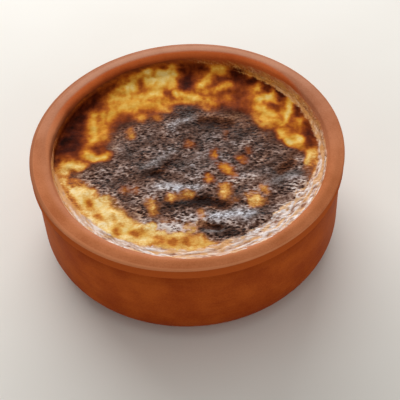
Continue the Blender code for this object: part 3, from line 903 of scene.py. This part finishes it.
def milkPattern(x, y, toWall):
    # waves drawn out along the wall, how pale the milk is, and its buttery patches;
    # the noise is cut at the far wall, where no milk shows
    degrees = degreesRound(x, y)
    along = ((degrees - 100) % 360) * 0.94
    bend = toWall + 0.8 * fractal(along / 9, toWall / 5, 1.0, 2, 85)
    long = 1.7 * fractal(along / 8, bend / 1.15, 1.0, 2, 86) + 0.15
    short = 1.5 * fractal((along + 1.3 * bend) / 2.0, bend / 0.95, 1.0, 2, 88)
    pale, butter, strong = atDegrees(degrees, milkKinds)
    speckled = atDegrees(degrees, milkSpeckle)[0]
    pale = pale + 0.2 * fractal(along / 8, bend / 2.5, 1.0, 2, 89)
    butter = butter + fractal(along / 7, bend / 1.4, 1.0, 2, 90)
    wave = strong * ((1 - 0.6 * speckled) * long + speckled * short)
    return np.clip(wave, -1, 1), np.clip(pale, 0, 1), butter


def charRelief(x, y):
    # creases that run across the view, and a finer net between them
    bend = y + 1.2 * fractal(x, y, 9.0, 2, 71)
    side = x + 1.0 * fractal(x, y, 7.0, 2, 72)
    crease = 0.6 - 2 * np.abs(latticeNoise(side / 3.4, bend / 2.6, 73))
    cells = netNoise((side + 0.2 * bend) / 1.7, (bend - 0.2 * side) / 1.15, 75)
    return crease, 0.6 - 1.6 * smooth(cells, 0.1, 0.65)


def charLevels(x, y, level):
    # where the skin is charred, its fringe in front, and how ashen it is;
    # in front the char has a sharper edge, and pale strands along it
    depth, front = crustDepth(x, y), frontness(y)
    fringe = front * smooth(depth, 6.0, 0.0)
    charred = smooth(level - 0.22 + 0.12 * fringe, 0, 0.68 - 0.25 * fringe)
    charred = charred * smooth(depth - 1.6 * (1 - front), -3.5 + 1.3 * front, 4.5 - 2.3 * front)
    return charred, fringe, smooth(depth + 5.0 * front, 0.0, 11.0)


def milkCover(x, y, toWall):  # 1 on the milky ring along the wall
    width = atDegrees(degreesRound(x, y), milkRing)[0]
    ragged = 0.2 * fractal(x, y, 7.0, 2, 81) * width + 0.5 * fractal(x, y, 2.4, 2, 82)
    return smooth(width + ragged - toWall, -1.5, 1.0) * smooth(width, 0.0, 1.2)


def skinShape(x, y):
    # height of the skin, and what its colour follows
    s = skin
    toWall = skinEdge - np.hypot(x - bowl["innerShift"], y)
    inland = smooth(toWall / 4.0)
    cover, fold = charCover(x, y) * inland, foldHeight(x, y)
    wrinkle = clayNoise(x, y, 23.0, s["wrinkleSpacing"])
    z = s["level"] + s["meniscusRise"] * np.exp(-np.maximum(toWall, 0) / s["meniscusWidth"])
    z += s["swellHeight"] * inland * clayNoise(x, y, 11.0, s["swellSpacing"])
    z += cover * (s["charLift"] + s["wrinkleHeight"] * wrinkle + fold)
    level = browning(x, y)
    charred, fringe, ash = charLevels(x, y, level)
    crease, net = charRelief(x, y)
    z += charred * (s["creaseHeight"] * crease + s["netHeight"] * net)
    z += s["grainHeight"] * (1 - charred) * fractal(x, y, 3.0, 3, 79)
    milk = milkCover(x, y, toWall)
    wave, pale, butter = milkPattern(x, y, toWall)
    z += milk * s["ringHeight"] * wave
    levels = dict(browning=level, nearness=nearness(x, y), crust=charred, fringe=fringe, ash=ash)
    levels.update(relief=0.4 * crease + 0.75 * net, fold=fold * cover, tone=bellSum(x, y, charTones))
    levels.update(sheen=np.clip(reach(x, y, sheenStrokes, 1.2, 0.5, 3), 0, 1), clayed=0 * x)
    levels.update(milk=milk, milkWave=wave, milkPale=pale, butter=butter)
    return z, levels


def skinPoints():
    rings = skin["rings"]
    edge = skinEdge + skin["intoClay"]
    x, y = [np.array([bowl["innerShift"]])], [np.array([0.0])]
    for n in range(1, rings + 1):
        turns = 2 * math.pi * np.arange(6 * n) / (6 * n)
        x.append(bowl["innerShift"] + edge * n / rings * np.cos(turns))
        y.append(edge * n / rings * np.sin(turns))
    return np.concatenate(x), np.concatenate(y)


def skinFaces(starts):
    # triangles between each ring of 6 n points and the next
    faces = []
    for n in range(skin["rings"]):
        inner, outer = max(6 * n, 1), 6 * (n + 1)
        for sector in range(6):
            for i in range(n + 1):
                a = starts[n] + (sector * n + i) % inner
                b = starts[n + 1] + sector * (n + 1) + i
                c = starts[n + 1] + (sector * (n + 1) + i + 1) % outer
                faces.append((a, b, c))
                if i < n:
                    faces.append((a, c, starts[n] + (sector * n + i + 1) % inner))
    return faces


def puddingSide():
    # the body under the skin follows the inner wall and floor
    into = skin["intoClay"]
    corner = arcPoints(cornerRadius, cornerHeight, bowl["floorCorner"] + into, 0, -90, 5)
    return [(innerWallRadius(kneeHeight - 1) + into, kneeHeight - 1)] + corner


def makePudding():
    x, y = skinPoints()
    z, levels = skinShape(x, y)
    starts = [0] + [1 + 3 * n * (n + 1) for n in range(skin["rings"])]
    points = np.stack([x, y, z], 1)
    faces = skinFaces(starts)
    count = 6 * skin["rings"]
    upper = starts[-1]
    turns = 2 * math.pi * np.arange(count) / count
    for r, height in puddingSide():
        ring = np.stack([bowl["innerShift"] + r * np.cos(turns), r * np.sin(turns), 0 * turns + height], 1)
        lower = len(points)
        points = np.concatenate([points, ring])
        faces += bandFaces(upper, lower, count)
        upper = lower
    faces.append(tuple(upper + i for i in reversed(range(count))))
    made = newObject("puddingSkin", points, faces, skinPaint())
    under = len(points) - len(x)
    storeLevels(made, **{name: np.append(v, np.full(under, v[-1])) for name, v in levels.items()})
    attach(made, "root")
    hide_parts("pudding")
    print("pudding:", len(made.data.polygons), "faces, skin", z.min().round(2), "to", z.max().round(2))


farColours = [  # from cream to black-brown, for the patches at the back
    (0.00, 232, 200, 122), (0.10, 226, 180, 84), (0.22, 216, 154, 54), (0.34, 200, 124, 34),
    (0.46, 174, 92, 23), (0.58, 142, 64, 17), (0.70, 110, 43, 10), (0.84, 74, 22, 4), (1.00, 38, 9, 2),
]
nearColours = [
    (0.00, 252, 230, 182), (0.10, 247, 216, 150), (0.22, 236, 195, 122), (0.34, 222, 166, 88),
    (0.46, 208, 137, 62), (0.58, 188, 112, 50), (0.70, 154, 92, 54), (0.84, 114, 70, 50),
    (1.00, 58, 32, 22),
]


warmChar = [  # from the pits to the strands
    (0.08, 28, 11, 5), (0.24, 50, 23, 10), (0.39, 80, 44, 25), (0.50, 106, 64, 42), (0.61, 132, 87, 60),
    (0.72, 164, 118, 86), (0.85, 204, 162, 128), (1.00, 232, 204, 176),
]
greyChar = [
    (0.08, 18, 9, 6), (0.24, 36, 24, 18), (0.39, 62, 49, 43), (0.50, 84, 71, 66), (0.61, 108, 97, 95),
    (0.72, 138, 131, 135), (0.85, 177, 175, 181), (1.00, 214, 214, 222),
]


def pitNet(paint):
    # 0 in the middle of each pit of the crinkled crust, towards 1 on the strands between them
    scaled = paint.vector("MULTIPLY", paint.place, (1 / (1.8 * mm), 1 / (0.95 * mm), 0.3 / mm))
    warp = paint.noise(scaled, 0.5, 2.0, output="Color")
    place = paint.vector("ADD", scaled, paint.vector("MULTIPLY", warp, (1.6, 1.6, 0.0)))
    inputs = {"Vector": place, "Scale": 1.0}
    return paint.node("ShaderNodeTexVoronoi", {"feature": "F1"}, inputs, "Distance")


def charColour(paint, pits):
    # dark pits between pale strands, browner towards the crust's edge and greyer where it shines; partly
    # the crust's own colour, partly painted shade in the pits and fold hollows and a painted sheen on the
    # strands, fold ridges and shining bands
    relief = paint.attribute("relief")
    fold = paint.attribute("fold")
    sheen = paint.attribute("sheen")
    ash = paint.attribute("ash")
    # the fold hollows get painted shade: darker, warmer and less pitted
    hollow = fold.step(0.0, -0.4)
    front = paint.axis("Y").step(10.0, -25.0)
    broad = paint.grain(9.0, 2.0, (1.3, 1.0, 1.0))
    middle = paint.grain(3.2, 3.0, (1.3, 1.0, 1.0))
    crinkle = paint.grain(1.1, 4.0, (1.5, 1.0, 1.0), 0.75)
    clump = paint.grain(6.0, 3.0, (1.3, 1.0, 1.0))
    pitted = (0.25 + 0.75 * clump.step(-0.35, 0.25)) * (1.0 - 0.5 * hollow) * (1.0 - 0.3 * sheen)
    pitted = pitted * (0.85 + 0.3 * front) * (0.4 + 0.6 * ash)
    hole = pits + 0.16 * crinkle + 0.12 * middle
    # painted shade in the pits and a painted sheen on the strands, over the crust's own pattern
    dent = pitted * (0.36 * hole.step(0.34, 0.72) - 0.68 * hole.step(0.38, 0.08))
    tone = paint.attribute("tone")
    calm = 1.0 - 0.55 * tone.step(-0.06, -0.22)
    # the relief term paints the raised net lighter and its low parts darker, as painted shade
    level = 0.40 + tone + 0.12 * broad + calm * (dent + 0.08 * relief + 0.09 * middle + 0.47 * crinkle)
    # painted sheen on the shining bands
    level = level + 0.22 * sheen + 0.14 * paint.attribute("fringe")
    # painted shade in the fold hollows and a painted highlight on the fold ridges
    level = level - 0.15 * hollow + 0.05 * fold.step(0.0, 0.5)
    # painted sheen: the shining bands are painted greyer
    grey = 0.46 * ash + 0.6 * sheen + 0.4 * paint.grain(6.0, 2.0) - 0.9 * hollow
    return paint.blend(grey, paint.ramp(level, warmChar), paint.ramp(level, greyChar))


def milkColour(paint, speck):
    wave = paint.attribute("milkWave") + 0.3 * speck
    pale = paint.attribute("milkPale")
    butter = (paint.attribute("butter") + 0.25 * speck).step(0.1, 0.5)
    # the waves' hollows are darker and their crests paler: painted shade and painted highlight over the
    # milk's own colour
    hollow = paint.blend(pale, (164, 94, 36), (154, 110, 88))
    layers = [
        (wave.step(-0.8, -0.05), paint.blend(pale, (212, 146, 70), (206, 182, 170))),
        (wave.step(-0.05, 0.6), paint.blend(pale, (224, 172, 104), (234, 227, 226))),
        (0.75 * butter, paint.blend(pale, (204, 134, 60), (228, 176, 114))),
    ]
    return paint.layered(hollow, layers)


def clayUnderFilm(paint):
    across = paint.axis("X")
    side = across.math("ABSOLUTE").step(24.0, 48.0)
    scorch = paint.axis("Y").step(0.0, 20.0) * across.step(26.0, -20.0)
    # painted light: the clay under the film is painted paler at the sides
    return paint.layered((168, 78, 34), [(side, (194, 114, 70)), (scorch, (104, 44, 20))])


def skinPaint():
    # one paint for the skin, the film that climbs the wall and its bubbles
    paint = Paint("bakedMilkSkin", {"Specular IOR Level": 0.02, "Coat Roughness": 0.32})
    near = paint.attribute("nearness") * (1.0 + 0.7 * paint.grain(5.0, 2.0))
    fine = paint.grain(0.9, 4.0, (1.5, 1.0, 1.0), 0.7)
    level = paint.attribute("browning") + (0.13 + 0.42 * near + 0.12 * paint.attribute("ash")) * fine
    charred = paint.attribute("crust")
    speck = paint.grain(0.8, 3.0)
    pits = pitNet(paint)
    milk = (paint.attribute("milk") + 0.4 * speck).step(0.2, 0.8)
    layers = [
        (near, paint.ramp(level, nearColours)),
        (charred, charColour(paint, pits)),
        (0.95 * milk, milkColour(paint, speck)),
        (paint.attribute("clayed"), clayUnderFilm(paint)),
    ]
    colour = paint.layered(paint.ramp(level, farColours), layers)
    rough = 0.6 - 0.10 * charred - 0.18 * milk + 0.06 * speck
    coat = (0.07 + 0.2 * paint.attribute("sheen")) * charred * paint.attribute("fold").step(-0.3, 0.0)
    coat = coat + 0.3 * milk * paint.attribute("milkPale")
    bump = paint.bump(paint.grain(0.55, 3.0), 0.05)
    bump = paint.bump(pits * charred, 0.12, bump)
    return paint.finish(colour=colour, roughness=rough, coat=coat, normal=bump)


# The film of milk that dried on the sloped wall above the skin.
film = {
    "below": 0.6,  # how far it reaches under the skin's edge
    "thickness": 0.22,
    "thinnest": 0.05,
    "edgeSink": 0.06,  # the top edge ends this deep in the clay, and the hidden side lies deeper
    "intoClay": 0.35,
    "waveHeight": 0.12,
    "steps": 720,
    "rows": 18,
    "bubbleDensity": 2.2e6,  # bubbles per square metre where the froth is thickest
    "bubbleSmall": 0.14,
    "bubbleLarge": 0.42,
    "bubbleFlatness": 0.55,
    "seed": 7,
}
# Degrees round the bowl from the right, how far up the wall the film climbs, how frothy it is,
# and whether it is milk (1) or browned skin (0).
filmReach = [
    (0, 2.1, 0.8, 1), (15, 2.6, 0.9, 1), (30, 3, 0.9, 0.9), (45, 3.2, 0.8, 0.9), (60, 3.2, 0.6, 0.6),
    (75, 2.9, 0.3, 0.35), (90, 3, 0.1, 0.15), (110, 3, 0, 0), (125, 3, 0, 0), (150, 3, 0, 0),
    (165, 2.9, 0, 0.1), (175, 2.8, 0, 0.5), (182, 2.7, 0, 0.9), (190, 2.2, 0.2, 1), (200, 1.8, 0.3, 1),
    (210, 2.5, 0.3, 1), (220, 3.7, 0.3, 1), (230, 4.2, 0.2, 1), (240, 4.5, 0.2, 1), (250, 5, 0.1, 1),
    (260, 5.5, 0.1, 1), (272, 6.7, 0, 1), (285, 6.8, 0, 1), (297, 6.4, 0, 1), (305, 6.1, 0.3, 1),
    (320, 4.3, 0.5, 1), (335, 2.7, 0.7, 1), (350, 2.1, 0.8, 1),
]


def wallProfile():
    # radius, height and length up the wall of points from below the skin's edge to the flat rim
    turned = [p for p in bowlRim() if p[0] < bowl["lipStart"]][::-1]
    knee = (kneeRadius, kneeHeight)
    r, z = np.array([knee] + linePoints(knee, turned[0], 40) + turned[1:]).T
    length = np.concatenate([[0], np.cumsum(np.hypot(np.diff(r), np.diff(z)))])
    return r, z, length - np.interp(skin["level"] + skin["meniscusRise"], z, length)


def filmPath(climb):
    # radius, height and lean of the wall at these lengths up from the skin's edge
    r, z, length = wallProfile()
    radius, height = np.interp(climb, length, r), np.interp(climb, length, z)
    ahead = climb + 0.1
    lean = np.arctan2(np.interp(ahead, length, z) - height, np.interp(ahead, length, r) - radius)
    return radius, height, lean


def filmColour(turn, share, climb):
    # browning and nearness carried on from the skin, and how much of the clay shows through
    outward = skinEdge + 1.2 * climb
    under = bowl["innerShift"] + outward * np.cos(turn), outward * np.sin(turn)
    level = browning(*under)
    level = level + (0.54 - level) * smooth(climb, 0.3, 2.2)
    # towards its top edge the film thins out and the clay shows, except in front
    bare = 0.9 - 0.75 * smooth(-np.sin(turn), -0.3, 0.3)
    thin = share + 0.3 * fractal(50 * np.cos(turn) + climb, 50 * np.sin(turn), 2.5, 3, 93)
    return level, nearness(*under), bare * smooth(thin, 0.35, 1.0)


def bothSides(values):  # the rows of the film's outside, then those that lie in the clay
    return np.concatenate([values, values[::-1]])


def filmShape():
    degrees = np.arange(film["steps"]) * 360 / film["steps"]
    turn = np.radians(degrees)
    top, froth, milky = atDegrees(degrees, filmReach)
    alongX, alongY = 50 * np.cos(turn), 50 * np.sin(turn)
    top = top + 0.45 * fractal(alongX, alongY, 7.0, 4, 91)
    share = np.linspace(0, 1, film["rows"])[:, None]
    climb = share * (top + film["below"]) - film["below"]
    radius, height, lean = filmPath(climb)
    inShift = bowl["innerShift"]
    wave, pale, butter = milkPattern(inShift + radius * np.cos(turn), radius * np.sin(turn), -climb)
    milky = np.clip(milky + 0.25 * fractal(alongX + 3 * climb, alongY, 3.0, 3, 97), 0, 1)
    ringed = smooth(atDegrees(degrees, milkRing)[0], 0.0, 1.2)
    milky = milky * (ringed + (1 - ringed) * smooth(climb, -0.2, 1.6))
    lumps = 0.5 + 0.5 * fractal(alongX + 20 * share, alongY + 9 * height, 4.0, 3, 95)
    thick = film["thickness"] * (0.35 + 0.65 * lumps) + film["waveHeight"] * (wave + 0.4) * milky
    thick = np.maximum(thick, film["thinnest"]) * (1 - share ** 4) - film["edgeSink"] * share ** 4
    thick = np.concatenate([thick, np.full_like(thick, -film["intoClay"])])
    radius, height, lean = [bothSides(v) for v in (radius, height, lean)]
    radius = radius - thick * np.sin(lean)
    height = height + thick * np.cos(lean)
    place = [inShift + radius * np.cos(turn), radius * np.sin(turn), height]
    level, near, clayed = filmColour(turn, share, climb)
    levels = {name: 0 * level for name in ("crust", "ash", "relief", "fold", "sheen", "fringe", "tone")}
    levels.update(browning=level, nearness=near, clayed=clayed, froth=froth * smooth(1 - share, 0.02, 0.3))
    levels.update(milk=milky, milkWave=wave, milkPale=pale, butter=butter)
    levels = {name: bothSides(v) for name, v in levels.items()}
    levels["froth"][film["rows"]:] = 0
    return np.stack(place, 2).reshape(-1, 3), {name: v.ravel() for name, v in levels.items()}


def makeFilm():
    points, levels = filmShape()
    steps, around = film["steps"], 2 * film["rows"]
    faces = []
    for row in range(around):
        faces += bandFaces(row * steps, (row + 1) % around * steps, steps)
    paint = bpy.data.materials["bakedMilkSkin"]
    made = newObject("milkFilm", points, faces, paint)
    bubbles = newObject("milkBubbles", points, faces, None)
    for piece in (made, bubbles):
        storeLevels(piece, **levels)
        if signedVolume(piece.data) < 0:
            piece.data.flip_normals()
    values = {"Density": film["bubbleDensity"], "Small": film["bubbleSmall"] * mm}
    values.update({"Large": film["bubbleLarge"] * mm, "Flatness": film["bubbleFlatness"]})
    values.update({"Seed": film["seed"], "Milk": paint})
    growMesh(bubbles, bubbleTree(), values)
    for piece in (made, bubbles):
        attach(piece, "root")
        print(piece.name, len(piece.data.polygons), "faces")


def bubbleTree():
    # flattened bubbles that sit on the film where it is frothy
    sockets = [("Geometry", "Geometry"), ("Density", "Float"), ("Small", "Float"), ("Large", "Float")]
    sockets += [("Flatness", "Float"), ("Seed", "Int"), ("Milk", "Material")]
    graph, given = geometryTree("milk bubbles", sockets)
    froth = graph.node("GeometryNodeInputNamedAttribute", {"data_type": "FLOAT"}, ["froth"])
    settings = {"distribute_method": "RANDOM"}
    inputs = {"Mesh": given["Geometry"], "Density": given["Density"] * froth, "Seed": given["Seed"]}
    points = graph.node("GeometryNodeDistributePointsOnFaces", settings, inputs)
    ball = graph.node("GeometryNodeMeshIcoSphere", None, {"Radius": 1.0, "Subdivisions": 2})
    inputs = {"Min": given["Small"], "Max": given["Large"], "Seed": given["Seed"]}
    size = graph.node("FunctionNodeRandomValue", {"data_type": "FLOAT"}, inputs)
    scale = graph.join(size, size, size * given["Flatness"])
    inputs = {"Points": points, "Instance": ball, "Scale": scale}
    inputs["Rotation"] = points.output("Rotation")
    bubbles = graph.node("GeometryNodeInstanceOnPoints", None, inputs)
    endTree(graph, bubbles, given["Milk"])
    return graph


placeCamera()
placeLights()
placeFloor()
print("stage ready")
makeBowl()
makePudding()
makeFilm()
print("scene ready")
